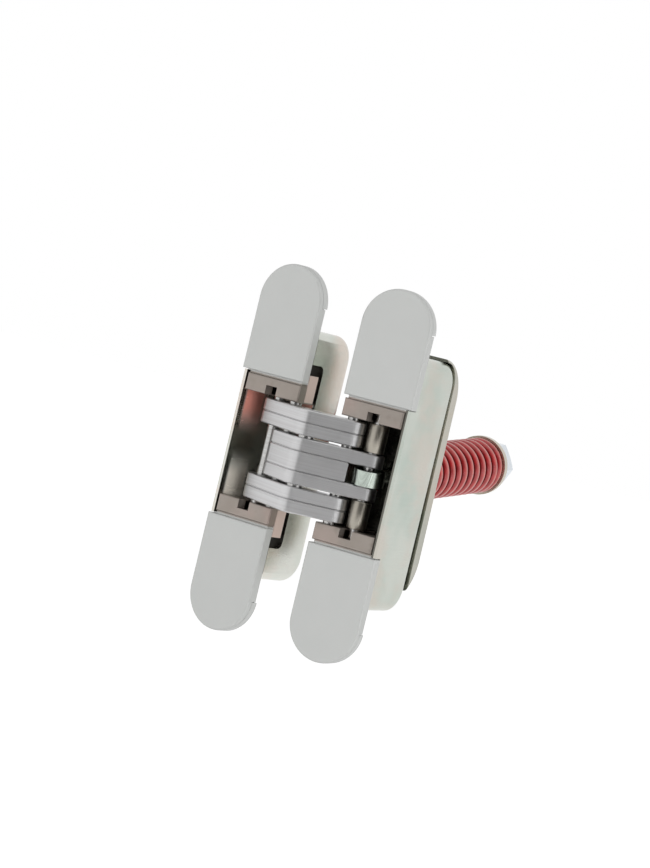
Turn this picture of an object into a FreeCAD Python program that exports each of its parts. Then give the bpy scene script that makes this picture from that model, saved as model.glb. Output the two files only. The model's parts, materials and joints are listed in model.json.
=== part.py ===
import FreeCAD, Part
import math
import os

V = FreeCAD.Vector

# Concealed door hinge with a closing spring, in millimetres, opened just past straight.
# The frame half stands at the origin: Z runs along the pins, X to the right, the faces look towards -Y.
# Y = 0 is the plane of the frame half's screw ears where they seat on the frame.

# Faces: two cover caps a half, with the arms' window between them
length = 118.0
width = 24.0
window = 47.0
cap_height = 1.8
cap_wall = 1.0
cap_skirt = 3.4
cap_edge_radius = 0.6
cap_seat_gap = 0.15

# Cast end blocks with their screw ears
ear_thickness = 2.4
ear_neck_clearance = 0.15
ear_end_gap = 0.25
screw_radius = 2.5
screw_head_radius = 4.5
countersink_depth = 1.4
stack_clearance = 0.9
block_front_drop = 0.8
block_cap_gap = 1.0
block_length = 19.0
block_side_clearance = 0.1
pad_length = 9.0
pad_depth = 5.2
pad_inset = 0.1
door_far_relief = 1.7
casting_round = 0.5

# Drawn steel shells, the liner and the backing strap
shell_end_margin = 19.0
shell_inset = 0.5
frame_depth = 28.0
door_depth = 24.4
shell_wall = 1.0
shell_corner_radius = 8.0
shell_edge_radius = 2.6
shell_seat_gap = 0.05
tab_setback = 0.2
tab_end_gap = 0.3
tab_clearance = 0.1
notch_end_gap = 3.5
notch_depth = 6.4
notch_corner_radius = 2.0
liner_wall = 0.9
liner_end_gap = 9.0
liner_clearance = 0.05
liner_setback = 0.6
strap_thickness = 5.0
strap_inset = 0.3
strap_gap = 0.1
strap_upper_overhang = 1.0
strap_lower_inset = 4.0
strap_corner_radius = 13.0
strap_edge_radius = 1.2
strap_tip = 1.3

# Linkage at rest: distance inside a face's near edge or beyond it, and depth behind the face
pivot_inset = 3.5
pivot_depth = 4.5
crossing_reach = 8.0
crossing_rise = 2.0
slide_inset = 11.5
slide_depth = 7.0
closed_gap = 6.0

# Arms and pins
plate_outer = 4.0
plate_side = 4.2
plate_middle = 6.2
arm_gap = 0.8
outer_eye_pivot = 4.4
central_eye_pivot = 5.2
eye_crossing = 4.6
outer_eye_slide = 4.7
central_eye_slide = 3.8
plate_edge = 0.3
pin_radius = 2.0
crossing_radius = 2.5
running_clearance = 0.05
fixed_pin_grip = 6.0
slide_pin_grip = 2.6
groove_depth = 2.9
groove_clearance = 0.15
hook_clearance = 0.3
roller_radius = 3.2

# Closing gear, which leans upwards in its play
gear_lean = 6.0
rod_radius = 2.5
rod_clearance = 0.3
eye_hole_radius = 4.8
rod_eye_wall = 1.0
rod_eye_clearance = 0.4
rod_eye_room = 1.2
rod_eye_thickness = 4.8
spring_radius = 9.2
spring_wire = 2.4
spring_length = 50.5
spring_turns = 11.3
spring_end_gap = 0.3
washer_radius = 9.8
washer_thickness = 2.0
nut_across_flats = 15.0
nut_sides = 6
nut_thickness = 8.0
nut_chamfer_angle = 30.0
rod_tip = 1.0

# Modelling: how close counts as touching, how far a cutter reaches past a face, points along a curved path
touch = 1e-4
overshoot = 1.0
path_points = 8
path_step = 0.001

# Sizes worked out from those above
face_y = -(ear_thickness + cap_height)
cap_inner = window / 2
end_radius = width / 2
end_centre = length / 2 - end_radius
shell_front = shell_seat_gap
frame_rear = face_y + frame_depth
door_rear = face_y + door_depth
lip_front = face_y + block_front_drop
tab_front = lip_front + tab_setback
tab_half = cap_inner - tab_end_gap
neck_half = width / 2 - cap_wall - ear_neck_clearance
central_half = plate_middle / 2 + plate_side
outer_start = central_half + arm_gap
outer_end = outer_start + 2 * plate_outer
block_inner = outer_end + stack_clearance
block_outer = block_inner + block_length
shell_length = length - 2 * shell_end_margin
shell_width = width - 2 * shell_inset
notch_length = 2 * (block_inner + pad_length + notch_end_gap)
liner_length = shell_length - 2 * liner_end_gap
strap_width = shell_width - 2 * strap_inset
strap_top = shell_length / 2 + strap_upper_overhang
strap_bottom = shell_length / 2 - strap_lower_inset

# Points of the linkage in the frame half, at rest and closed
near_edge = -width / 2
pivot = V(near_edge + pivot_inset, face_y + pivot_depth, 0)
crossing = V(near_edge - crossing_reach, face_y - crossing_rise, 0)
slide = V(near_edge + slide_inset, face_y + slide_depth, 0)
arm_reach = crossing.distanceToPoint(pivot)
slide_reach = crossing.distanceToPoint(slide)
closed_y = face_y - closed_gap / 2
closed_x = pivot.x + math.sqrt(arm_reach ** 2 - (closed_y - pivot.y) ** 2)
closed_crossing = V(closed_x, closed_y, 0)
closed_slide_y = closed_y + math.sqrt(slide_reach ** 2 - (closed_x - slide.x) ** 2)
closed_slide = V(slide.x, closed_slide_y, 0)


def heading(start, end):
    return math.atan2(end.y - start.y, end.x - start.x)


arm_start = heading(pivot, crossing)
arm_turn = heading(pivot, closed_crossing) - arm_start
link_start = heading(crossing, slide)
link_turn = heading(closed_crossing, closed_slide) - link_start
swing = arm_turn + link_turn
crossing_turn = link_turn - arm_turn
slide_travel = closed_slide.y - slide.y

# The door half is the frame half's mirror image in the plane that halves the angle between the faces
half_over = (swing - math.pi) / 2
mirror_normal = V(math.cos(half_over), -math.sin(half_over), 0)


def to_door(shape):
    return shape.mirror(crossing, mirror_normal)


def lower(shape):
    return shape.mirror(V(0, 0, 0), V(0, 0, 1))


def door_point(point):
    away = (point - crossing).dot(mirror_normal)
    return point - mirror_normal * (2 * away)


door_pivot = door_point(pivot)
door_slide = door_point(slide)


def polar(centre, radius, angle):
    return V(centre.x + radius * math.cos(angle), centre.y + radius * math.sin(angle), centre.z)


def slide_at(share):
    """Place of the frame half's sliding pin after a share of the closing swing."""
    cross = polar(pivot, arm_reach, arm_start + share * arm_turn)
    return polar(cross, slide_reach, link_start + share * link_turn)


# The rod slides in a straight line, so its eye leaves room for the pin's curved path beside that line
shares = [index / path_points for index in range(path_points + 1)]
drift = [slide_at(share) - slide - V(0, slide_travel * share, 0) for share in shares]
drift_x = [move.x for move in drift]
drift_y = [move.y for move in drift]
eye_shift = V((min(drift_x) + max(drift_x)) / 2, (min(drift_y) + max(drift_y)) / 2, 0)
eye_play = max((move - eye_shift).Length for move in drift)
eye_centre = slide + eye_shift
eye_bore = pin_radius + eye_play + rod_eye_clearance
rod_x = eye_centre.x
strap_rear = frame_rear + strap_gap + strap_thickness
strap_lean = math.sin(math.radians(strap_tip))
spring_seat = strap_rear + (strap_top + spring_radius) * strap_lean
spring_front = spring_seat + spring_radius * math.sin(math.radians(gear_lean))
washer_front = spring_front + spring_length
nut_front = washer_front + washer_thickness
rod_end = nut_front + nut_thickness + rod_tip


def one(shape):
    """A clean copy of a shape, as a single solid where it is one."""
    solids = shape.removeSplitter().Solids
    return solids[0] if len(solids) == 1 else Part.makeCompound(solids)


def disc(centre, radius, z0, z1):
    return Part.makeCylinder(radius, z1 - z0, V(centre.x, centre.y, z0), V(0, 0, 1))


def box(x0, x1, y0, y1, z0, z1):
    return Part.makeBox(x1 - x0, y1 - y0, z1 - z0, V(x0, y0, z0))


def edges_along(shape, direction, keep=lambda edge: True):
    """Straight edges of a shape that run along a direction."""
    found = []
    for edge in shape.Edges:
        if len(edge.Vertexes) == 2:
            run = edge.Vertexes[1].Point - edge.Vertexes[0].Point
            if run.cross(direction).Length < touch and keep(edge):
                found.append(edge)
    return found


def edges_in_plane(shape, axis, value):
    """Edges of a shape that lie in a plane across one axis."""
    found = []
    for edge in shape.Edges:
        bounds = edge.BoundBox
        low = {"x": bounds.XMin, "y": bounds.YMin, "z": bounds.ZMin}[axis]
        high = {"x": bounds.XMax, "y": bounds.YMax, "z": bounds.ZMax}[axis]
        if abs(low - value) < touch and abs(high - value) < touch:
            found.append(edge)
    return found


def pressed_block(half_x, half_z, corner, y0, y1, edge_radius):
    """A block with round rear corners and soft edges along its two flat sides, as a pressed cup has."""
    block = box(-half_x, half_x, y0, y1, -half_z, half_z)
    rear = edges_along(block, V(1, 0, 0), lambda edge: edge.BoundBox.YMin > y1 - touch)
    block = block.makeFillet(corner, rear)
    if edge_radius <= 0:
        return block
    sides = edges_in_plane(block, "x", -half_x) + edges_in_plane(block, "x", half_x)
    return block.makeFillet(edge_radius, [edge for edge in sides if edge.BoundBox.YMax > y0 + touch])


def cavity(rear, inset):
    """The room inside a shell of one depth, taken in by a clearance on every side."""
    step = shell_wall + inset
    return pressed_block(shell_width / 2 - step, shell_length / 2 - step, shell_corner_radius - step,
                         face_y - overshoot, rear - step, shell_edge_radius - step)


def arm_notch():
    """The long notch that lets the arms pass over a shell's near wall."""
    half = notch_length / 2
    notch = box(-width, 0, face_y - overshoot, shell_front + notch_depth, -half, half)
    inner = edges_along(notch, V(1, 0, 0), lambda edge: edge.BoundBox.YMin > shell_front)
    return notch.makeFillet(notch_corner_radius, inner)


def leaned(shape):
    """A piece of the closing gear, turned from straight back to its lean about the rod's eye."""
    return shape.rotate(eye_centre, V(1, 0, 0), gear_lean)


def rod_slot(y0, y1, radius):
    """An upright slot for the leaning rod, long enough for its whole travel between two depths."""
    rise = math.tan(math.radians(gear_lean))
    low = (y0 - slide_travel - eye_centre.y) * rise
    high = (y1 - eye_centre.y) * rise
    ends = [Part.makeCylinder(radius, y1 - y0, V(rod_x, y0, z), V(0, 1, 0)) for z in (low, high)]
    return ends[0].fuse([ends[1], box(rod_x - radius, rod_x + radius, y0, y1, low, high)])


def wall_tab(outside, wall, setback):
    """The front of a cup's far wall, which stands up between the two cover caps."""
    return box(outside - wall, outside, tab_front + setback, shell_front + overshoot, -tab_half, tab_half)


def shell(rear):
    cup = pressed_block(shell_width / 2, shell_length / 2, shell_corner_radius,
                        shell_front, rear, shell_edge_radius)
    cup = cup.cut(cavity(rear, 0)).cut(arm_notch())
    return one(cup.fuse(wall_tab(shell_width / 2, shell_wall, 0)))


def liner():
    """A channel bent from sheet, open at both ends, that lines the frame half's shell."""
    slab = box(-width, width, shell_front + liner_setback, frame_rear, -liner_length / 2, liner_length / 2)
    outside = cavity(frame_rear, liner_clearance).common(slab)
    step = shell_wall + liner_clearance + liner_wall
    inner_half = shell_width / 2 - step
    inside = box(-inner_half, inner_half, face_y - overshoot, frame_rear - step, -length, length)
    bends = edges_along(inside, V(0, 0, 1), lambda edge: edge.BoundBox.YMin > 0)
    inside = inside.makeFillet(shell_edge_radius - step, bends)
    channel = outside.cut(inside).cut(arm_notch())
    channel = channel.fuse(wall_tab(inner_half + liner_wall, liner_wall, liner_setback))
    return one(channel.cut(rod_slot(frame_rear - step, frame_rear, eye_hole_radius)))


def strap():
    """A thick tray behind the shell, drawn round its rear corners and tipped back by the closing gear."""
    front = frame_rear - shell_corner_radius
    inner = frame_rear + strap_gap
    tray = pressed_block(strap_width / 2, (strap_top + strap_bottom) / 2, strap_corner_radius,
                         front, strap_rear, strap_edge_radius)
    tray.translate(V(0, 0, (strap_top - strap_bottom) / 2))
    tray = tray.cut(pressed_block(width, shell_length / 2 + strap_gap, shell_corner_radius + strap_gap,
                                  front - overshoot, inner, 0))
    tray.rotate(V(0, front, strap_top), V(1, 0, 0), strap_tip)
    return one(tray.cut(rod_slot(inner, spring_seat, rod_radius + rod_clearance)))


def slide_groove():
    """The groove of a sliding pin: an open mouth at the front, then the pin's own path."""
    half = pin_radius + groove_clearance
    path = [slide_at(share) for share in shares]
    left, right = [], []
    for share, point in zip(shares, path):
        step = slide_at(share + path_step) - slide_at(share - path_step)
        side = V(-step.y, step.x, 0).normalize() * half
        left.append(point + side)
        right.append(point - side)
    one_side, other_side = Part.BSplineCurve(), Part.BSplineCurve()
    one_side.interpolate(left)
    other_side.interpolate(right[::-1])
    rim = Part.Wire([one_side.toShape(), Part.makeLine(left[-1], right[-1]),
                     other_side.toShape(), Part.makeLine(right[0], left[0])])
    channel = Part.Face(rim).extrude(V(0, 0, groove_depth))
    for end in (path[0], path[-1]):
        channel = channel.fuse(disc(end, half, 0, groove_depth))
    mouth = box(slide.x - half, slide.x + half, face_y - overshoot, slide.y, 0, groove_depth)
    groove = channel.fuse(mouth)
    groove.translate(V(0, 0, block_inner))
    return groove


def casting(near_half, far_half, lip_far, rear, inset):
    """Upper end casting: block, front lip, pivot pad and screw ear in one piece."""
    lip_top = cap_inner - block_cap_gap
    room = box(-near_half, far_half, 0, rear, block_inner, block_outer)
    body = cavity(rear, inset).common(room)
    lip_near = shell_width / 2
    lip = box(-lip_near, lip_far, lip_front, 0, block_inner, lip_top)
    lip = lip.makeFillet(casting_round, edges_in_plane(lip, "y", lip_front))
    pad = box(-shell_width / 2 + pad_inset, 0, 0, pad_depth, block_inner, block_inner + pad_length)
    corners = edges_along(pad, V(0, 0, 1), lambda edge: edge.BoundBox.XMin < -near_half)
    pad = pad.makeFillet(casting_round, corners)
    neck = box(-neck_half, neck_half, -ear_thickness, 0, lip_top - overshoot, end_centre + overshoot)
    neck = neck.cut(box(lip_far, width, face_y, overshoot, 0, tab_half + tab_clearance))
    ear = Part.makeCylinder(end_radius, ear_thickness, V(0, -ear_thickness, end_centre), V(0, 1, 0))
    ear = ear.cut(box(-width, width, -length, length, 0, end_centre + ear_end_gap))
    solid = body.fuse([lip, pad, neck, ear])
    screw = V(0, -ear_thickness, end_centre)
    hole = Part.makeCylinder(screw_radius, ear_thickness, screw, V(0, 1, 0))
    sink = Part.makeCone(screw_head_radius, screw_radius, countersink_depth, screw, V(0, 1, 0))
    bore = disc(pivot, pin_radius + running_clearance / 2, block_inner, block_inner + fixed_pin_grip)
    return one(solid.cut([hole, sink, bore, slide_groove()]))


def cap():
    """Upper cover cap: flat front, round end, deep skirts that grip the ear's neck."""
    outline = box(-width / 2, width / 2, face_y, face_y + cap_skirt, cap_inner, end_centre)
    shallow = cap_height - cap_seat_gap
    tip = Part.makeCylinder(end_radius, shallow, V(0, face_y, end_centre), V(0, 1, 0))
    tip = tip.cut(box(-width, width, -length, length, 0, end_centre))
    outer = one(outline.fuse(tip))
    outer = outer.makeFillet(cap_edge_radius, edges_in_plane(outer, "y", face_y))
    inner_half = width / 2 - cap_wall
    back = face_y + cap_wall
    room = box(-inner_half, inner_half, back, length, cap_inner + cap_wall, end_centre)
    end_room = Part.makeCylinder(end_radius - cap_wall, length, V(0, back, end_centre), V(0, 1, 0))
    inner_edge = box(-inner_half, inner_half, face_y + shallow, length, 0, cap_inner + 2 * cap_wall)
    return one(outer.cut([room, end_room, inner_edge]))


def link(start, start_radius, end, end_radius, z0, z1):
    """A flat bar with two round ends of different radius, joined by their tangents."""
    run = end - start
    along = V(run.x, run.y, 0).normalize()
    across = V(-along.y, along.x, 0)
    lean = (start_radius - end_radius) / run.Length
    rise = math.sqrt(1 - lean ** 2)
    side = along * lean + across * rise
    other = along * lean - across * rise
    a0, a1 = start + side * start_radius, end + side * end_radius
    b0, b1 = start + other * start_radius, end + other * end_radius
    edges = [
        Part.makeLine(a0, a1),
        Part.Arc(a1, end + along * end_radius, b1).toShape(),
        Part.makeLine(b1, b0),
        Part.Arc(b0, start - along * start_radius, a0).toShape(),
    ]
    bar = Part.Face(Part.Wire(edges)).extrude(V(0, 0, z1 - z0))
    bar.translate(V(0, 0, z0))
    return bar


def hook(pin, turn, z0, z1):
    """The curved recess in a sliding arm that clears the other arm's fixed pin."""
    half = pin_radius + hook_clearance
    start = heading(crossing, pin)
    near, far = arm_reach - half, arm_reach + half
    angles = [start, start + turn / 2, start + turn]
    outside = [polar(crossing, far, angle) for angle in angles]
    inside = [polar(crossing, near, angle) for angle in angles]
    rim = Part.Wire([
        Part.Arc(*outside).toShape(),
        Part.makeLine(outside[2], inside[2]),
        Part.Arc(*inside[::-1]).toShape(),
        Part.makeLine(inside[0], outside[0]),
    ])
    sector = Part.Face(rim).extrude(V(0, 0, z1 - z0))
    sector.translate(V(0, 0, z0))
    return sector.fuse(disc(pin, half, z0, z1))


def broken_edges(body, z0, z1):
    """A plate with its sharp rims taken off, as tumbled stampings have them."""
    body = one(body)
    rims = edges_in_plane(body, "z", z0) + edges_in_plane(body, "z", z1)
    return body.makeChamfer(plate_edge, rims)


def plate(fixed, fixed_eye, sliding, sliding_eye, other_pin, other_turn, z0, z1):
    """One hooked plate of an arm, with its three eyes."""
    low, high = z0 - overshoot, z1 + overshoot
    body = link(fixed, fixed_eye, crossing, eye_crossing, z0, z1)
    body = body.fuse(link(crossing, eye_crossing, sliding, sliding_eye, z0, z1))
    body = broken_edges(body.cut(hook(other_pin, other_turn, low, high)), z0, z1)
    pin_hole = pin_radius + running_clearance
    cuts = [
        disc(fixed, pin_hole, low, high),
        disc(crossing, crossing_radius + running_clearance, low, high),
        disc(sliding, pin_hole, low, high),
    ]
    return one(body.cut(cuts))


def middle_plate():
    """The thick middle plate of the central arm: hooked like its neighbours, cut short of the rod's eye."""
    half = plate_middle / 2
    low, high = -half - overshoot, half + overshoot
    eye_room = eye_bore + rod_eye_wall + eye_play + rod_eye_room
    body = link(door_pivot, central_eye_pivot, crossing, eye_crossing, -half, half)
    body = body.fuse(link(crossing, eye_crossing, slide, central_eye_slide, -half, half))
    body = body.cut([hook(pivot, -crossing_turn, low, high), disc(slide, eye_room, low, high)])
    body = max(body.Solids, key=lambda piece: piece.Volume)
    body = broken_edges(body, -half, half)
    holes = [
        disc(door_pivot, pin_radius + running_clearance, low, high),
        disc(crossing, crossing_radius + running_clearance, low, high),
    ]
    return one(body.cut(holes))


def rod():
    shank = Part.makeCylinder(rod_radius, rod_end - eye_centre.y, V(rod_x, eye_centre.y, 0), V(0, 1, 0))
    half = rod_eye_thickness / 2
    eye = disc(eye_centre, eye_bore + rod_eye_wall, -half, half)
    return leaned(one(shank.fuse(eye).cut(disc(eye_centre, eye_bore, -length, length))))


def spring():
    """A round-wire compression spring between the strap and the washer."""
    mean = spring_radius - spring_wire / 2
    rise = spring_length - 2 * spring_end_gap - spring_wire
    helix = Part.makeHelix(rise / spring_turns, rise, mean)
    wire = Part.Wire(helix.Edges)
    section = Part.Wire(Part.makeCircle(spring_wire / 2, V(mean, 0, 0), V(0, 1, 0)))
    coil = wire.makePipeShell([section], True, True)
    coil.rotate(V(0, 0, 0), V(1, 0, 0), -90)
    coil.translate(V(rod_x, spring_front + spring_end_gap + spring_wire / 2, 0))
    return leaned(one(coil))


def washer():
    at = V(rod_x, washer_front, 0)
    ring = Part.makeCylinder(washer_radius, washer_thickness, at, V(0, 1, 0))
    hole = Part.makeCylinder(rod_radius + rod_clearance, washer_thickness, at, V(0, 1, 0))
    return leaned(one(ring.cut(hole)))


def nut():
    """A hexagon nut with its corners turned off at both faces."""
    corner = nut_across_flats / 2 / math.cos(math.pi / nut_sides)
    turns = [math.tau * index / nut_sides for index in range(nut_sides + 1)]
    points = [V(rod_x + corner * math.cos(turn), nut_front, corner * math.sin(turn)) for turn in turns]
    prism = Part.Face(Part.makePolygon(points)).extrude(V(0, nut_thickness, 0))
    chamfer = corner - nut_across_flats / 2
    drop = chamfer * math.tan(math.radians(nut_chamfer_angle))
    at = V(rod_x, nut_front, 0)
    turned = Part.makeCone(corner - chamfer, corner, drop, at, V(0, 1, 0))
    straight = nut_thickness - 2 * drop
    turned = turned.fuse(Part.makeCylinder(corner, straight, at + V(0, drop, 0), V(0, 1, 0)))
    turned = turned.fuse(Part.makeCone(corner, corner - chamfer, drop,
                                       at + V(0, nut_thickness - drop, 0), V(0, 1, 0)))
    bore = Part.makeCylinder(rod_radius + running_clearance, length, at - V(0, overshoot, 0), V(0, 1, 0))
    return leaned(one(prism.common(turned).cut(bore)))


def pin(centre, radius, half):
    return disc(centre, radius, -half, half)


def roller():
    ring = disc(slide, roller_radius, central_half + arm_gap / 2, block_inner - arm_gap / 2)
    return one(ring.cut(disc(slide, pin_radius + running_clearance, 0, length)))


frame_block_half = shell_width / 2 - shell_wall - liner_clearance - liner_wall - block_side_clearance
door_near_half = shell_width / 2 - shell_wall - block_side_clearance
door_far_half = door_near_half - door_far_relief
liner_inset = liner_clearance + liner_wall + block_side_clearance
frame_casting = casting(frame_block_half, frame_block_half, frame_block_half, frame_rear, liner_inset)
door_lip = door_far_half + shell_wall + block_side_clearance
door_casting = to_door(casting(door_near_half, door_far_half, door_lip, door_rear, block_side_clearance))
plain_cap = cap()

outer_split = outer_start + plate_outer
half_middle = plate_middle / 2
fixed_half = block_inner + fixed_pin_grip - running_clearance
slide_half = block_inner + slide_pin_grip


def outer_plate(z0, z1):
    return plate(pivot, outer_eye_pivot, door_slide, outer_eye_slide,
                 door_pivot, crossing_turn, z0, z1)


def central_plate(z0, z1):
    return plate(door_pivot, central_eye_pivot, slide, central_eye_slide,
                 pivot, -crossing_turn, z0, z1)


rod_opening = rod_slot(frame_rear - shell_wall, frame_rear, eye_hole_radius)

nodes = {
    "frame_shell": one(shell(frame_rear).cut(rod_opening)),
    "frame_liner": liner(),
    "frame_strap": strap(),
    "frame_upper_casting": frame_casting,
    "frame_lower_casting": lower(frame_casting),
    "frame_upper_cap": plain_cap,
    "frame_lower_cap": lower(plain_cap),
    "frame_pivot_pin": pin(pivot, pin_radius, fixed_half),
    "door_shell": to_door(shell(door_rear)),
    "door_upper_casting": door_casting,
    "door_lower_casting": lower(door_casting),
    "door_upper_cap": to_door(plain_cap),
    "door_lower_cap": lower(to_door(plain_cap)),
    "door_pivot_pin": pin(door_pivot, pin_radius, fixed_half),
    "upper_arm_outer_plate": outer_plate(outer_split, outer_end),
    "upper_arm_inner_plate": outer_plate(outer_start, outer_split),
    "lower_arm_inner_plate": outer_plate(-outer_split, -outer_start),
    "lower_arm_outer_plate": outer_plate(-outer_end, -outer_split),
    "central_arm_upper_plate": central_plate(half_middle, central_half),
    "central_arm_middle_plate": middle_plate(),
    "central_arm_lower_plate": central_plate(-central_half, -half_middle),
    "crossing_pin": pin(crossing, crossing_radius, outer_end),
    "door_slide_pin": pin(door_slide, pin_radius, slide_half),
    "frame_slide_pin": pin(slide, pin_radius, slide_half),
    "upper_roller": roller(),
    "lower_roller": lower(roller()),
    "spring_rod": rod(),
    "closing_spring": spring(),
    "spring_washer": washer(),
    "rod_nut": nut(),
}

os.makedirs("parts", exist_ok=True)
for name, solid in nodes.items():
    solid.exportStep("parts/" + name + ".step")
    print(name, solid.ShapeType, solid.isValid(), round(solid.Volume, 1))
print("swing", round(math.degrees(swing), 3), "arm share", round(arm_turn / swing, 5),
      "slide travel", round(slide_travel, 4), "eye bore", round(eye_bore, 3))
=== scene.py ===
# %% [markdown]
# A self-closing concealed hinge, finished in Blender. The shapes of the hinge come from CAD and
# stay as they are. This lesson gives each piece the finish that it has in life, winds the red
# spring, cuts the rod's thread, peens the pin, turns the rollers, and then sets up a small photo
# studio. Everything is in metres and in the CAD model's own frame: Z runs along the pins, X from
# the door half to the frame half, and both faces look towards -Y.

# %% Load the CAD frame
import json
import math

import bpy
from mathutils import Matrix, Vector


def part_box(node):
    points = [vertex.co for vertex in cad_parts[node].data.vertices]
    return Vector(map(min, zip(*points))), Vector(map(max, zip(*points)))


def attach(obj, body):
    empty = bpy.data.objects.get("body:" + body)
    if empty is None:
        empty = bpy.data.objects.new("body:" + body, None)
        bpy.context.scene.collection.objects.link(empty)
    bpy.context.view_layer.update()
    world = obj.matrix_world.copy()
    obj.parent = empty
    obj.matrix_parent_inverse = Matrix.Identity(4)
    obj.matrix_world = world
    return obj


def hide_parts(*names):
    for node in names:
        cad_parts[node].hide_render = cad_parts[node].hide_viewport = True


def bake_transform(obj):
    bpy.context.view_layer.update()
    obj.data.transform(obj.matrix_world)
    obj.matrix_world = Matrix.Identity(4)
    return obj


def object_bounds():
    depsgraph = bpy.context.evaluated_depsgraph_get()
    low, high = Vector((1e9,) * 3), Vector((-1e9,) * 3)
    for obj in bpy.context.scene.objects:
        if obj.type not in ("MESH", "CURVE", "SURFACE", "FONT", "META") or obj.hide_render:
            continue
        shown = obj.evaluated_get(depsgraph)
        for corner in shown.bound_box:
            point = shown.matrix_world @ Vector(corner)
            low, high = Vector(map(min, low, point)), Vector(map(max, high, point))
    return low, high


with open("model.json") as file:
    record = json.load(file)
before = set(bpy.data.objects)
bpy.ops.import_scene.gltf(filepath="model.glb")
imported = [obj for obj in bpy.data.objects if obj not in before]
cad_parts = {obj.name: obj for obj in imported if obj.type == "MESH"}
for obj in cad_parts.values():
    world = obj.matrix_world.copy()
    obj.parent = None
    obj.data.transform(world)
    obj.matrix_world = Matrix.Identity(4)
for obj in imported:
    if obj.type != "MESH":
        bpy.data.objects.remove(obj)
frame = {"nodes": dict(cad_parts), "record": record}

cad_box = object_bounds()
nodes = frame["nodes"]
cad_sides = [round(high - low, 4) for low, high in zip(*cad_box)]
print("loaded", len(nodes), "pieces in a box of", cad_sides)

# %% [markdown]
# Shader maths reads best as plain arithmetic. A node tree wants a box and two wires for each plus
# sign, so a small class wraps a socket and turns Python's operators into Math nodes. Everything
# that isn't arithmetic comes from one method that adds any node: its settings first, then its
# sockets. Both serve every tree of this lesson: the finishes, the coil and the studio.

# %% Sockets as numbers
class Number:
    """What comes out of a node's socket, ready for Python's operators."""

    def __init__(self, wiring, socket):
        self.wiring = wiring
        self.socket = socket

    def twin(self, output):
        """Another output of the same node."""
        return Number(self.wiring, self.socket.node.outputs[output])

    def math(self, operation, first, second=0.0):
        return self.wiring.node("ShaderNodeMath", {"operation": operation}, {0: first, 1: second})

    def __add__(self, other):
        return self.math("ADD", self, other)

    def __sub__(self, other):
        return self.math("SUBTRACT", self, other)

    def __rsub__(self, other):
        return self.math("SUBTRACT", other, self)

    def __mul__(self, other):
        return self.math("MULTIPLY", self, other)

    def __abs__(self):
        return self.math("ABSOLUTE", self)

    __radd__ = __add__
    __rmul__ = __mul__


class Wiring:
    """A node tree that takes any node by one method."""

    def __init__(self, tree):
        self.tree = tree

    def node(self, kind, settings=None, sockets=None, output=0):
        """Any node: its settings are set first, then its sockets get values or links."""
        made = self.tree.nodes.new(kind)
        for key, value in (settings or {}).items():
            setattr(made, key, value)
        for key, value in (sockets or {}).items():
            self.plug(made.inputs[key], value)
        return Number(self, made.outputs[output])

    def plug(self, socket, value):
        """Links a socket to another node's, or gives it a value of its own."""
        if isinstance(value, Number):
            self.tree.links.new(value.socket, socket)
        else:
            socket.default_value = value


print("reflected forms:", [name for name in vars(Number) if name.startswith("__r")])

# %% [markdown]
# A finish is a material built on that. Its helpers say what a maker would: noise for grain and
# clouds, masks that keep a mark in its place, a mix of two tones, and small relief. All patterns
# read Object coordinates, which for these pieces are the CAD model's own metres, so a pattern has
# the same scale on every piece and stays on it when the hinge moves.

# %% Finishes
first_colour, second_colour, mixed_colour = 6, 7, 2


class Finish(Wiring):
    """A material that is built from nodes, with its shader and its Object coordinates at hand."""

    def __init__(self, name):
        self.material = bpy.data.materials.new(name)
        self.material.use_nodes = True
        super().__init__(self.material.node_tree)
        self.shader = self.tree.nodes["Principled BSDF"]
        self.place = self.node("ShaderNodeTexCoord", output="Object")

    def stretched(self, scale, turn=(0.0, 0.0, 0.0)):
        """Object coordinates with another scale along each axis, for brushed lines."""
        sockets = {"Vector": self.place, "Rotation": turn, "Scale": scale}
        return self.node("ShaderNodeMapping", {}, sockets)

    def turned(self, angle):
        """Object coordinates turned about Z."""
        return self.stretched((1.0, 1.0, 1.0), (0.0, 0.0, angle))

    def axes(self, where):
        """The three numbers of a place."""
        split = self.node("ShaderNodeSeparateXYZ", {}, {"Vector": where})
        return [split.twin(name) for name in "XYZ"]

    def vector(self, operation, first, second=(0.0, 0.0, 0.0), output="Vector"):
        settings = {"operation": operation}
        return self.node("ShaderNodeVectorMath", settings, {0: first, 1: second}, output)

    def noise(self, scale, detail=3.0, where=None, roughness=0.55):
        """Soft noise between 0 and 1: a scale of 500 makes spots of about 2 mm."""
        sockets = {"Vector": where or self.place, "Scale": scale, "Detail": detail,
                   "Roughness": roughness}
        return self.node("ShaderNodeTexNoise", {}, sockets)

    def steps(self, value, low, high):
        """0 at the value low and 1 at the value high, with soft ends."""
        sockets = {"Value": value, "From Min": low, "From Max": high}
        return self.node("ShaderNodeMapRange", {"interpolation_type": "SMOOTHSTEP"}, sockets)

    def mask(self, first, *others):
        """Several steps at once: 1 only where all of them are."""
        whole = self.steps(*first)
        for other in others:
            whole = whole * self.steps(*other)
        return whole

    def mix(self, share, first, second):
        """A colour between two others."""
        sockets = {"Factor": share, first_colour: first, second_colour: second}
        return self.node("ShaderNodeMix", {"data_type": "RGBA"}, sockets, mixed_colour)

    def bump(self, height, depth, strength=0.5):
        """Small relief: depth is how high the height's 1 stands, in metres."""
        sockets = {"Height": height, "Distance": depth, "Strength": strength}
        return self.node("ShaderNodeBump", {}, sockets)

    def surface(self, **values):
        """Sets the shader's own sockets, named with underlines for spaces."""
        for key, value in values.items():
            self.plug(self.shader.inputs[key.replace("_", " ")], value)
        return self.material


def shade(red, green, blue):
    """A colour read by eye as 0 to 255 on a screen, as the linear values that a shader wants."""
    def linear(level):
        level = level / 255
        return level / 12.92 if level <= 0.04045 else ((level + 0.055) / 1.055) ** 2.4
    return (linear(red), linear(green), linear(blue), 1.0)


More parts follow.
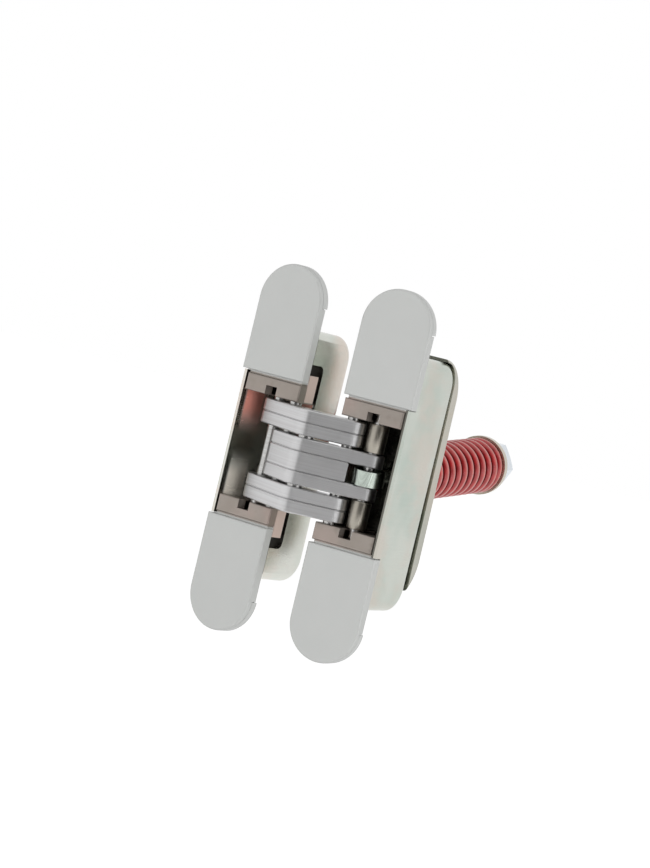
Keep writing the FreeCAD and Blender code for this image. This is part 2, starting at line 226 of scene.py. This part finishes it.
print("a mid grey of 128 is", [round(level, 3) for level in shade(128, 128, 128)[:3]])

# %% [markdown]
# Cover caps. The four caps carry a fine satin coating, silver grey and almost even. A plain grey
# would look like plastic, so the coat gets a sparkle of fine metal grain in its colour, a slow
# cloud in its gloss, and the soft orange peel that sprayed coats have.

# %% Cover caps
cap_greys = (shade(188, 190, 188), shade(200, 201, 199))
peel_depth = 0.000004


def satin_coat():
    finish = Finish("satin_coat")
    grain = finish.noise(6000.0, 1.0)
    cloud = finish.noise(90.0, 2.0)
    peel = finish.noise(1100.0, 2.0)
    return finish.surface(
        Base_Color=finish.mix(grain * 0.5 + cloud * 0.5, *cap_greys),
        Metallic=0.2,
        Roughness=cloud * 0.1 + 0.4,
        Normal=finish.bump(peel, peel_depth),
    )


finishes = {"cap_finish": satin_coat()}
print("caps:", finishes["cap_finish"].name)

# %% [markdown]
# Pressed steel. The two cups and the strap are drawn from sheet and zinc plated. Clear passivated
# zinc isn't one colour: it drifts between grey green, cream and a trace of pink over a centimetre
# or so. The press also leaves faint draw lines along the cup's depth. Slow noise gives the drift,
# in colour and gloss, and noise drawn out along Y gives the lines, in gloss and relief. The door's
# cup has paler tones than the frame's, painted light. The far wall inside the door's cup has two
# duller patches of painted reflection, rose above and cream below. The door half is turned by a
# few degrees, so the mask that keeps them on that wall reads coordinates turned with it.

# %% Pressed steel
door_turn = math.radians(8.846)
wall_middle = -0.0498
wall_near = (wall_middle - 0.0001, wall_middle + 0.0001)
wall_past = (wall_middle + 0.001, wall_middle + 0.0008)
reflection_front = (-0.0045, -0.003)
reflection_rear = (0.008, 0.005)
reflection_end = (0.025, 0.024)
sheet_relief = 0.000003
speck_grey = shade(168, 168, 158)


def far_wall(finish):
    """A mask of the door cup's far wall, seen from inside, and the height on it."""
    across, depth, height = finish.axes(finish.turned(door_turn))
    inside = finish.mask((across, *wall_near), (across, *wall_past), (depth, *reflection_front),
                         (depth, *reflection_rear), (abs(height), *reflection_end))
    return inside, height


def plated_sheet(name, cool_tones, warm_tone, painted_reflections=()):
    finish = Finish(name)
    drift = finish.noise(55.0, 2.0)
    tint = finish.noise(38.0, 1.0, finish.stretched((1.0, 1.6, 0.7), (0.4, 0.2, 0.9)))
    patch = finish.noise(240.0, 4.0, finish.stretched((1.0, 0.5, 1.0), (0.2, 0.0, 0.3)), 0.65)
    lines = finish.noise(1.0, 3.0, finish.stretched((1500.0, 60.0, 1500.0)))
    speck = finish.noise(2600.0, 2.0)
    cool = finish.mix(finish.steps(drift, 0.35, 0.65), *cool_tones)
    warmth = finish.steps(tint * 0.6 + patch * 0.4, 0.42, 0.66)
    warm = finish.mix(warmth * 0.75, cool, warm_tone)
    colour = finish.mix(finish.steps(speck, 0.6, 0.85) * 0.2, warm, speck_grey)
    metal = 1.0
    if painted_reflections:
        inside, height = far_wall(finish)
    # Painted reflections: rose and cream patches on the far wall, less metallic than the sheet.
    for reflection, start, end in painted_reflections:
        share = inside * finish.steps(height, start, end) * (drift * 0.5 + 0.6)
        colour = finish.mix(share, colour, reflection)
        metal = metal - share * 0.9
    return finish.surface(
        Base_Color=colour,
        Metallic=metal,
        Roughness=lines * 0.1 + drift * 0.14 + 0.12,
        Normal=finish.bump(lines * 0.6 + speck * 0.4, sheet_relief, 0.4),
    )


grey_green = (shade(178, 188, 179), shade(194, 198, 190))
# The door cup's paler tones are painted light.
pale_green = (shade(200, 204, 196), shade(210, 211, 204))
dull_green = (shade(168, 168, 158), shade(182, 180, 170))
rose_reflection = (shade(246, 158, 142), 0.002, 0.012)
cream_reflection = (shade(252, 244, 230), -0.002, -0.011)
finishes["zinc_plate"] = plated_sheet("plated_sheet", grey_green, shade(196, 188, 178))
special = {
    "door_shell": plated_sheet("stained_sheet", pale_green, shade(214, 200, 190), (rose_reflection, cream_reflection)),
    "frame_strap": plated_sheet("strap_sheet", dull_green, shade(188, 178, 164)),
}
print("sheet:", finishes["zinc_plate"].name, [finish.name for finish in special.values()])

# %% [markdown]
# End castings. The blocks that carry the pins are zinc die castings with a grey brown
# passivation. A casting's skin is a little sandy and cloudy, with darker flow marks, so two
# scales of noise make the skin and two more make the marks and a faint blush. Its screw ears,
# which show as a rim under the caps' round ends, are coated with the caps: a mask on the height
# along Z and one on the depth, in coordinates turned with the half, tell them from the block and
# from what lies behind them. There, inside the cup, the walls of the block are painted nearly
# black, painted shade of the deep gap, and only the sides of its pads are painted pale, painted
# light.

# %% End castings
ear_height = (0.0227, 0.0232)
block_height = (0.0172, 0.0176)
ear_back = (0.0003, 0.0001)
sunk_from = (0.0001, 0.0004)
pad_light_fade = (0.0006, 0.0003)
sand_relief = 0.000012
zinc_tones = (shade(140, 131, 123), shade(160, 152, 145))
flow_tone, blush_tone = shade(118, 109, 101), shade(172, 152, 145)
recess_shade_tone, pad_light_tone = shade(34, 31, 28), shade(238, 216, 208)


def cast_zinc(name, turn, seat, pad_side):
    """The seat is the depth of the ears' back, and the pads' sides lie at pad_side across."""
    finish = Finish(name)
    sand = finish.noise(2200.0, 3.0)
    cloud = finish.noise(150.0, 3.0)
    flow = finish.noise(210.0, 2.0, finish.stretched((1.0, 0.35, 1.0), (0.0, 0.3, 0.5)))
    blush = finish.noise(70.0, 2.0)
    skin = finish.mix(cloud, *zinc_tones)
    skin = finish.mix(finish.steps(flow, 0.55, 0.8) * 0.5, skin, flow_tone)
    skin = finish.mix(finish.steps(blush, 0.45, 0.7) * 0.5, skin, blush_tone)
    across, depth, height = finish.axes(finish.turned(turn))
    reach, behind = abs(height), depth - seat
    ear = finish.mask((reach, *ear_height), (behind, *ear_back))
    # Painted shade: the block's walls inside the cup are nearly black; painted light: its pads'
    # sides are pale.
    sunk = finish.mask((reach, *block_height), (behind, *sunk_from))
    painted_light = finish.steps(abs(across - pad_side), *pad_light_fade)
    skin = finish.mix(sunk, skin, finish.mix(painted_light, recess_shade_tone, pad_light_tone))
    return finish.surface(
        Base_Color=finish.mix(ear, skin, finish.mix(cloud, *cap_greys)),
        Metallic=0.75 - ear * 0.5,
        Roughness=sand * 0.16 + 0.28,
        Normal=finish.bump(sand * 0.7 + cloud * 0.3, sand_relief),
    )


frame_seat, door_seat = 0.0, -0.003
frame_pad_side, door_pad_side = -0.0114, -0.0274
finishes["zinc_casting"] = cast_zinc("cast_zinc", 0.0, frame_seat, frame_pad_side)
door_zinc = cast_zinc("door_cast_zinc", door_turn, door_seat, door_pad_side)
special["door_upper_casting"] = door_zinc
special["door_lower_casting"] = door_zinc
print("castings:", finishes["zinc_casting"].name, door_zinc.name)

# %% [markdown]
# Arm plates. The hooked plates are stamped from thick steel, and their edges are ground after
# stacking, so fine lines run along each arm. Grinding lines are long in X and Y and thin in Z, so
# the noise is squeezed hard along Z. Each line is a little lighter or darker, duller or shinier.

# %% Arm plates
arm_lines = (14.0, 14.0, 3400.0)
arm_relief = 0.0000004
turned_relief = 0.0000015


def ground_steel(name, light, dark, scale, dull, relief):
    finish = Finish(name)
    lines = finish.noise(1.0, 2.0, finish.stretched(scale), 0.4)
    cloud = finish.noise(130.0, 2.0)
    deep = finish.steps(lines, 0.2, 0.8)
    return finish.surface(
        Base_Color=finish.mix(deep * 0.75 + cloud * 0.25, dark, light),
        Metallic=1.0,
        Roughness=(1 - deep) * 0.07 + cloud * 0.1 + dull,
        Normal=finish.bump(lines, relief),
    )


finishes["arm_steel"] = ground_steel("ground_plate", shade(206, 206, 207), shade(188, 187, 187),
                                     arm_lines, 0.26, arm_relief)
print("arms:", finishes["arm_steel"].name)

# %% [markdown]
# Pins, rollers, rod and nut. Round steel is ground on a turning machine, so its lines run round
# it: the noise changes almost only along the axis. The rollers are darker and a little duller
# than the pins. The washer has a warmer zinc, and the nut a brighter, bluer one. The rod and the
# liner round it are the same steel in darker tones, painted shade of the dark frame cup.

# %% Round steel
round_lines = (8.0, 8.0, 5200.0)
axis_lines = (8.0, 5200.0, 8.0)
for shelf, key, name, light, dark, lines, dull in (
    (finishes, "pin_steel", "ground_pin", (206, 206, 205), (168, 166, 163), round_lines, 0.14),
    (finishes, "roller_steel", "dark_roller", (178, 173, 162), (156, 150, 140), round_lines, 0.26),
    (finishes, "rod_steel", "warm_zinc", (208, 201, 188), (178, 170, 156), axis_lines, 0.18),
    (finishes, "nut_steel", "bright_zinc", (228, 232, 236), (200, 206, 212), axis_lines, 0.16),
    # Painted shade: the liner and the rod take darker tones.
    (special, "frame_liner", "greased_liner", (112, 111, 104), (86, 85, 78), axis_lines, 0.2),
    (special, "spring_rod", "greased_rod", (190, 200, 192), (150, 158, 150), axis_lines, 0.16),
):
    shelf[key] = ground_steel(name, shade(*light), shade(*dark), lines, dull, turned_relief)
print("round steel:", sorted(name for name in finishes if name.endswith("_steel")))

# %% [markdown]
# The closing gear's axis. The rod leans by a few degrees, so the spring does too. A washer and a
# nut are alike on both sides of their middles, so the middles of their boxes lie on the rod's
# axis, and two points make a line. The spring's other end sits on the strap, which is tipped a
# little. Two rays shot at the strap from behind find its back, one above the rod and one below,
# and a line through both hits gives the seat's slope and the point where the rod's axis meets it.

# %% Axis of the closing gear
def middle(name):
    low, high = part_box(name)
    return (Vector(low) + Vector(high)) / 2


washer_thickness = 0.002
washer_middle = middle("spring_washer")
axis = (middle("rod_nut") - washer_middle).normalized()
spring_end = washer_middle - axis * (washer_thickness / 2)
ray_offset = 0.006
ray_height = 0.009


def strap_back(height):
    """How far back the strap reaches beside the rod, at a height."""
    start = Vector((washer_middle.x + ray_offset, washer_middle.y, height))
    return nodes["frame_strap"].ray_cast(start, Vector((0, -1, 0)))[1].y


seat_slope = (strap_back(ray_height) - strap_back(-ray_height)) / (2 * ray_height)
seat_depth = (strap_back(ray_height) + strap_back(-ray_height)) / 2
behind_seat = spring_end.y - seat_depth - seat_slope * spring_end.z
spring_start = spring_end - axis * (behind_seat / (axis.y - seat_slope * axis.z))
print("the spring's seat slopes by", round(math.degrees(math.atan(seat_slope)), 2), "degrees")
print("the rod leans by", round(math.degrees(math.asin(axis.z)), 2), "degrees")

# %% [markdown]
# The spring's coat. The wire is dipped in red lacquer. It pools a little deeper in some places,
# and dust dulls it, so the red drifts between wine and scarlet, under a clear glossy layer.
# The outside of the coils is painted pale, a painted highlight, and the gaps are painted dark,
# painted shade, so the colour also follows the distance from the rod's axis: the cross product of
# the way from a point of the axis and its direction is that long.

# %% Red lacquer
spring_radius = 0.0092
gap_shade_reach = (0.0087, 0.0079)
highlight_reach = (0.0088, spring_radius)
lacquer_relief = 0.000008


def red_lacquer():
    finish = Finish("red_lacquer")
    pool = finish.noise(420.0, 3.0)
    dust = finish.noise(3800.0, 2.0)
    away = finish.vector("SUBTRACT", finish.place, spring_end)
    reach = finish.vector("LENGTH", finish.vector("CROSS_PRODUCT", away, axis), output="Value")
    red = finish.mix(finish.steps(pool, 0.3, 0.7), shade(146, 14, 18), shade(176, 26, 28))
    # Painted shade darkens the gaps between the coils, and a painted highlight pales their outside.
    deep = finish.mix(finish.steps(reach, *gap_shade_reach), red, shade(98, 8, 10))
    painted_light = finish.steps(reach, *highlight_reach) * (dust * 0.6 + 0.2)
    return finish.surface(
        Base_Color=finish.mix(painted_light, deep, shade(224, 140, 130)),
        Metallic=0.0,
        Roughness=dust * 0.12 + 0.26,
        Coat_Weight=pool * 0.3 + 0.6,
        Coat_Roughness=0.2,
        Normal=finish.bump(pool * 0.6 + dust * 0.4, lacquer_relief),
    )


finishes["red_coating"] = red_lacquer()
print("spring:", finishes["red_coating"].name)

# %% [markdown]
# Handing out the finishes. The record of the part names a finish slot for each piece, so the CAD
# pieces take their materials from that list. The pieces that are turned, dulled, or painted with
# reflections, light or shade have their own version of their slot's finish.

# %% Finishes on the CAD pieces
slot_of = {entry["node"]: entry["material_slot"] for entry in frame["record"]["subparts"]}
for name, piece in nodes.items():
    piece.data.materials.clear()
    piece.data.materials.append(special.get(name, finishes[slot_of[name]]))
print("finishes handed out:", len(slot_of))

# %% [markdown]
# A coil by Geometry Nodes. A spring and a screw thread follow the same rule: a point goes round
# an axis while it climbs. A line is cut into many points, each point learns how far along it is,
# and sine and cosine put it on the helix. Sweeping a round wire along it makes the spring.
# Sweeping a three-cornered one makes a thread. The ends of a spring lie flat, so nothing climbs
# there.

# %% Coil tree
coil_inputs = {
    "Radius": "Float", "Length": "Float", "Turns": "Float", "Flat Share": "Float",
    "Wire Radius": "Float", "Steps": "Int", "Wire Sides": "Int", "Material": "Material",
}


def coil_tree():
    tree = bpy.data.node_groups.new("coil", "GeometryNodeTree")
    for name, kind in coil_inputs.items():
        tree.interface.new_socket(name, in_out="INPUT", socket_type="NodeSocket" + kind)
    tree.interface.new_socket("Geometry", in_out="OUTPUT", socket_type="NodeSocketGeometry")
    coil = Wiring(tree)
    inputs = coil.node("NodeGroupInput")
    radius, length, turns, flat, wire_radius, steps, wire_sides, material = (
        inputs.twin(name) for name in coil_inputs)

    share = coil.node("GeometryNodeSplineParameter", output="Factor")
    angle = share * turns * math.tau
    climb = coil.node("ShaderNodeMapRange", {"interpolation_type": "LINEAR"},
                      {"Value": share, "From Min": flat, "From Max": 1 - flat})
    spot = coil.node("ShaderNodeCombineXYZ", {}, {
        "X": angle.math("COSINE", angle) * radius,
        "Y": angle.math("SINE", angle) * radius,
        "Z": climb * length,
    })
    line = coil.node("GeometryNodeCurvePrimitiveLine", {}, {"End": (1.0, 0.0, 0.0)})
    cut = coil.node("GeometryNodeResampleCurve", {}, {"Curve": line, "Count": steps})
    helix = coil.node("GeometryNodeSetPosition", {}, {"Geometry": cut, "Position": spot})
    wire = coil.node("GeometryNodeCurvePrimitiveCircle", {},
                     {"Resolution": wire_sides, "Radius": wire_radius})
    swept = coil.node("GeometryNodeCurveToMesh", {},
                      {"Curve": helix, "Profile Curve": wire, "Fill Caps": True})
    real = coil.node("GeometryNodeRealizeInstances", {}, {"Geometry": swept})
    dressed = coil.node("GeometryNodeSetMaterial", {}, {"Geometry": real, "Material": material})
    coil.plug(tree.nodes.new("NodeGroupOutput").inputs["Geometry"], dressed)
    return tree


coils = coil_tree()
print("coil tree with", len(coils.nodes), "nodes")

# %% [markdown]
# From tree to mesh. A modifier runs the tree on an empty mesh, its inputs set by each socket's
# identifier. The result is copied to a plain mesh, and the helper object goes. A matrix then
# turns and moves the mesh onto the rod's axis. What is left sits at the origin with its place in
# its points, as CAD pieces do.

# %% Grow a mesh from a tree
def grown(name, tree, slot, **sizes):
    """A plain mesh object from a Geometry Nodes tree and its named inputs."""
    helper = bpy.data.objects.new("helper", bpy.data.meshes.new("helper"))
    bpy.context.collection.objects.link(helper)
    modifier = helper.modifiers.new("grow", "NODES")
    modifier.node_group = tree
    for item in tree.interface.items_tree:
        if item.in_out == "INPUT":
            key = item.name.replace(" ", "_").lower()
            modifier[item.identifier] = finishes[slot] if key == "material" else sizes[key]
    evaluated = helper.evaluated_get(bpy.context.evaluated_depsgraph_get())
    mesh = bpy.data.meshes.new_from_object(evaluated)
    bpy.data.objects.remove(helper)
    mesh.name = name
    piece = bpy.data.objects.new(name, mesh)
    bpy.context.collection.objects.link(piece)
    print(name, "has", len(mesh.polygons), "faces")
    return piece


def smooth(piece):
    for face in piece.data.polygons:
        face.use_smooth = True


def basis(right, up, ahead):
    """A matrix that turns X, Y and Z into three directions."""
    return Matrix((right, up, ahead)).transposed().to_4x4()


def onto_axis(start):
    """Turns +Z into the rod's axis and +Y downwards, and starts there."""
    down = axis.cross(Vector((1, 0, 0))).normalized()
    return Matrix.Translation(start) @ basis(down.cross(axis), down, axis)


print("the rod's axis is", [round(part, 4) for part in axis])

# %% [markdown]
# The spring. It is wound from the strap to the washer, with half a turn at each end lying flat.
# Its seat isn't square to the rod, so the coil's front is tilted to lie on it: each point slides
# along the rod in proportion to its height, and less and less towards the washer.

# %% Wind the spring
spring_wire = 0.0024
spring_turns = 11.6
flat_turns = 0.49
spring_length = (spring_end - spring_start).length
spring = grown("closing_spring_coil", coils, "red_coating", radius=spring_radius - spring_wire / 2,
               length=spring_length - spring_wire, turns=spring_turns,
               flat_share=flat_turns / spring_turns, wire_radius=spring_wire / 2,
               steps=680, wire_sides=20)
flat_middle = math.tau * (spring_turns - flat_turns / 2)
spring.data.transform(Matrix.Rotation(-flat_middle, 4, "Z"))
seat_tilt = axis.z / axis.y + seat_slope
for point in spring.data.vertices:
    point.co.z -= seat_tilt * point.co.y * (1 - point.co.z / spring_length)
spring.data.transform(onto_axis(spring_start + axis * (spring_wire / 2)))
smooth(spring)
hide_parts("closing_spring")
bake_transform(spring)
print("spring of", round(spring_length * 1000, 1), "mm")

# %% [markdown]
# The rod's thread. Only its tip shows behind the nut. The same tree with a three-cornered wire
# winds the ridge of a fine thread round the rod's last millimetre.

# %% Rod thread
rod_radius = 0.0025
thread_sink = 0.00005
thread_pitch = 0.0008
thread_length = 0.0008
ridge_radius = thread_pitch * 0.3
nut_thickness = 0.008
nut_rear = middle("rod_nut") + axis * (nut_thickness / 2)
thread = grown("rod_thread", coils, "rod_steel", radius=rod_radius - thread_sink,
               length=thread_length, turns=thread_length / thread_pitch, flat_share=0.0,
               wire_radius=ridge_radius, steps=60, wire_sides=3)
thread.data.transform(onto_axis(nut_rear + axis * ridge_radius))
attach(thread, "rod")
print("thread pitch", thread_pitch * 1000, "mm")

# %% [markdown]
# The peened pin. The crossing pin is riveted over the outer plates, so each of its ends is a
# shallow dome with a soft rim. A dome is a turned shape: a few points of its outline, spun round
# the pin's axis with a Screw modifier or, as here, written ring by ring, because two domes need
# no modifier.

# %% Peened ends
def lathe(name, outline, spot, turn_over=False, sides=40, bored=False):
    """A closed solid from outline points (radius, height), spun round Z and set on a spot.

    The outline of a bored piece goes up its outside and down its bore, and joins up by itself.
    """
    rise = -1 if turn_over else 1
    angles = [math.tau * side / sides for side in range(sides)]
    points = [(spot.x + radius * math.cos(angle), spot.y + radius * math.sin(angle),
               spot.z + rise * height) for radius, height in outline for angle in angles]
    faces = []
    for ring in range(len(outline) if bored else len(outline) - 1):
        low, high = ring * sides, (ring + 1) % len(outline) * sides
        for side in range(sides):
            after = (side + 1) % sides
            faces.append([low + side, low + after, high + after, high + side])
    if not bored:
        faces.append(list(range(sides))[::-1])
        faces.append([(len(outline) - 1) * sides + side for side in range(sides)])
    mesh = bpy.data.meshes.new(name)
    mesh.from_pydata(points, [], [face[::-1] for face in faces] if turn_over else faces)
    piece = bpy.data.objects.new(name, mesh)
    bpy.context.collection.objects.link(piece)
    return piece


dome = [(0.0029, 0.00002), (0.00298, 0.00012), (0.0028, 0.00026), (0.0022, 0.00036),
        (0.0012, 0.00042), (0.0003, 0.00043)]
pin_low, pin_high = (Vector(corner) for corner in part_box("crossing_pin"))
pin_middle = (pin_low + pin_high) / 2
for name, level, turn_over in (("crossing_pin_top", pin_high.z, False),
                               ("crossing_pin_foot", pin_low.z, True)):
    head = lathe(name, dome, Vector((pin_middle.x, pin_middle.y, level)), turn_over)
    head.data.materials.append(finishes["pin_steel"])
    smooth(head)
    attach(head, "central_arm")
print("peened ends at", round(pin_low.z, 4), "and", round(pin_high.z, 4))

# %% [markdown]
# The rollers. They stand upright in the dark of the cup, where a mirror image shows each flat of
# a CAD mesh, so they are turned again here with more sides: a barrel with broken edges and a bore
# that runs on the sliding pin, in the place of the CAD rollers.

# %% Turned rollers
edge = 0.0003
soft = 0.3 * edge
bore_clearance = 0.00005
roller_sides = 96
sharp_angle = math.radians(40)
pin_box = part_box("frame_slide_pin")
bore = (pin_box[1][0] - pin_box[0][0]) / 2 + bore_clearance
for name in ("upper_roller", "lower_roller"):
    low, high = (Vector(corner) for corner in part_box(name))
    radius, tall = (high.x - low.x) / 2, high.z - low.z
    barrel = [(radius - edge, 0.0), (radius - soft, soft), (radius, edge),
              (radius, tall - edge), (radius - soft, tall - soft), (radius - edge, tall),
              (bore + edge, tall), (bore, tall - edge), (bore, edge), (bore + edge, 0.0)]
    foot = Vector(((low.x + high.x) / 2, (low.y + high.y) / 2, low.z))
    roller = lathe(name + "_turned", barrel, foot, sides=roller_sides, bored=True)
    roller.data.materials.append(finishes["roller_steel"])
    smooth(roller)
    roller.data.set_sharp_from_angle(angle=sharp_angle)
    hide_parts(name)
    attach(roller, "central_arm")
    print(roller.name, "radius", round(radius * 1000, 2), "mm, height", round(tall * 1000, 2), "mm")

# %% [markdown]
# The studio's white. The photo has a white ground and soft light from all round. The world is
# white for what the camera sees and for mirror images, and a mid grey for the light that it
# spreads, so the ground comes out white without too much light on the hinge. The Light Path node
# tells the two kinds of rays apart.

# %% World
share_socket, first_shader, second_shader = 0, 1, 2


def grey(level):
    return (level, level, level, 1.0)


def seen_directly(wiring):
    """1 for what the camera sees itself, in a mirror or through glass, and 0 for spread light."""
    path = wiring.node("ShaderNodeLightPath")
    camera_ray, mirror_ray, glass_ray = (
        path.twin(name) for name in ("Is Camera Ray", "Is Glossy Ray", "Is Transmission Ray"))
    return path.math("MAXIMUM", path.math("MAXIMUM", camera_ray, mirror_ray), glass_ray)


world = bpy.data.worlds.new("studio")
world.use_nodes = True
bpy.context.scene.world = world
sky = Wiring(world.node_tree)
sky.plug(sky.tree.nodes["Background"].inputs["Color"], grey(0.5))
ambient = Number(sky, sky.tree.nodes["Background"].outputs["Background"])
paper = sky.node("ShaderNodeBackground", {}, {"Color": grey(1.0)})
either = sky.node("ShaderNodeMixShader", {}, {
    share_socket: seen_directly(sky), first_shader: ambient, second_shader: paper})
sky.plug(sky.tree.nodes["World Output"].inputs["Surface"], either)
print("world with", len(sky.tree.nodes), "nodes")

# %% [markdown]
# The floor. It lies a hand's width below the hinge, pale and matt with a trace of cloud, and
# takes a soft shadow. For what the camera sees, a little glow is added to its paint, so it fades
# into the white of the world.

# %% Floor
def card(name, side, spot, facing):
    """A flat square sheet of the studio that looks along a direction."""
    half = side / 2
    mesh = bpy.data.meshes.new(name)
    corners = [(-half, -half, 0), (half, -half, 0), (half, half, 0), (-half, half, 0)]
    mesh.from_pydata(corners, [], [(0, 1, 2, 3)])
    turn = Vector(facing).to_track_quat("Z", "Y").to_matrix().to_4x4()
    mesh.transform(Matrix.Translation(spot) @ turn)
    piece = bpy.data.objects.new(name, mesh)
    bpy.context.collection.objects.link(piece)
    return piece


floor_side = 8.0
floor_drop = 0.12
floor_level = cad_box[0][2] - floor_drop
floor = card("floor", floor_side, (0.0, 0.0, floor_level), (0, 0, 1))
paint = Finish("pale_floor")
floor_colour = paint.mix(paint.noise(14.0, 2.0), grey(0.78), grey(0.82))
floor.data.materials.append(paint.surface(Base_Color=floor_colour, Roughness=0.8))
matt = Number(paint, paint.shader.outputs["BSDF"])
glow = paint.node("ShaderNodeEmission", {}, {"Color": grey(0.6)})
lit = paint.node("ShaderNodeAddShader", {}, {0: matt, 1: glow})
chosen = paint.node("ShaderNodeMixShader", {}, {
    share_socket: seen_directly(paint), first_shader: matt, second_shader: lit})
paint.plug(paint.tree.nodes["Material Output"].inputs["Surface"], chosen)
print("floor at", round(floor_level, 3), "m")

# %% [markdown]
# The lamps. A large key lamp on the left gives the arms their shape, a weak one on the right
# opens the shadows, and a small fill to the right of the camera lights the faces. None of them
# shows in mirror images, because the white world does that better.

# %% Lamps
target = Vector((-0.012, 0.01, 0.0))


def lamp(name, spot, size, power):
    data = bpy.data.lights.new(name, "AREA")
    data.size = size
    data.energy = power
    piece = bpy.data.objects.new(name, data)
    piece.location = spot
    piece.visible_glossy = False
    piece.rotation_euler = (target - Vector(spot)).to_track_quat("-Z", "Y").to_euler()
    bpy.context.collection.objects.link(piece)


lamp("key", (-0.95, -0.55, -0.02), 1.0, 5.0)
lamp("side", (1.1, -0.35, 0.1), 0.8, 0.8)
lamp("fill", (0.74, -0.64, 0.05), 0.4, 4.2)

# %% [markdown]
# The flag. Bright metal shows what stands in front of it, and in a white room it would all be
# white. Photographers hang up a dark cloth, a flag, where it should be dark. This one hangs
# behind the camera, so the faces of the arms that look towards the camera turn grey. It shows in
# mirror images only, and takes no light away.

# %% Flag
flag_side = 1.5
flag = card("flag", flag_side, (0.62, -1.24, 0.1), (-0.447, 0.894, 0.0))
flag.visible_camera = False
flag.visible_shadow = False
flag.visible_diffuse = False
cloth = Finish("grey_flag")
cloth_colour = cloth.mix(cloth.noise(30.0), shade(72, 72, 72), shade(84, 84, 84))
flag.data.materials.append(cloth.surface(Base_Color=cloth_colour, Roughness=0.9))
print("flag:", flag.name, "in", cloth.material.name)

# %% [markdown]
# The camera. Its place was worked out from the corners of the caps in the photo: a long lens,
# about 0.93 m away, 27 degrees round to the right and almost level, held with a tilt to the left.
# The lens follows from its length in pixels of the photo, which is 868 pixels high.

# %% Camera
camera_spot = Vector((0.4001, -0.8329, 0.0549))
azimuth, elevation, roll = math.radians(26.6), math.radians(2.78), math.radians(13.51)
lens_pixels, image_height = 3000, 868
forward = Vector((-math.sin(azimuth) * math.cos(elevation),
                  math.cos(azimuth) * math.cos(elevation), -math.sin(elevation)))
level_right = forward.cross(Vector((0, 0, 1))).normalized()
level_up = level_right.cross(forward)
up = level_up * math.cos(roll) - level_right * math.sin(roll)
right = forward.cross(up)
camera_data = bpy.data.cameras.new("camera")
camera_data.sensor_width = 36.0
camera_data.lens = lens_pixels * camera_data.sensor_width / image_height
camera_data.clip_start = 0.01
camera = bpy.data.objects.new("camera", camera_data)
camera.matrix_world = Matrix.Translation(camera_spot) @ basis(right, up, -forward)
bpy.context.collection.objects.link(camera)
bpy.context.scene.camera = camera
bpy.context.scene.view_settings.view_transform = "Standard"
print("lens", round(camera_data.lens, 1), "mm")

# %% [markdown]
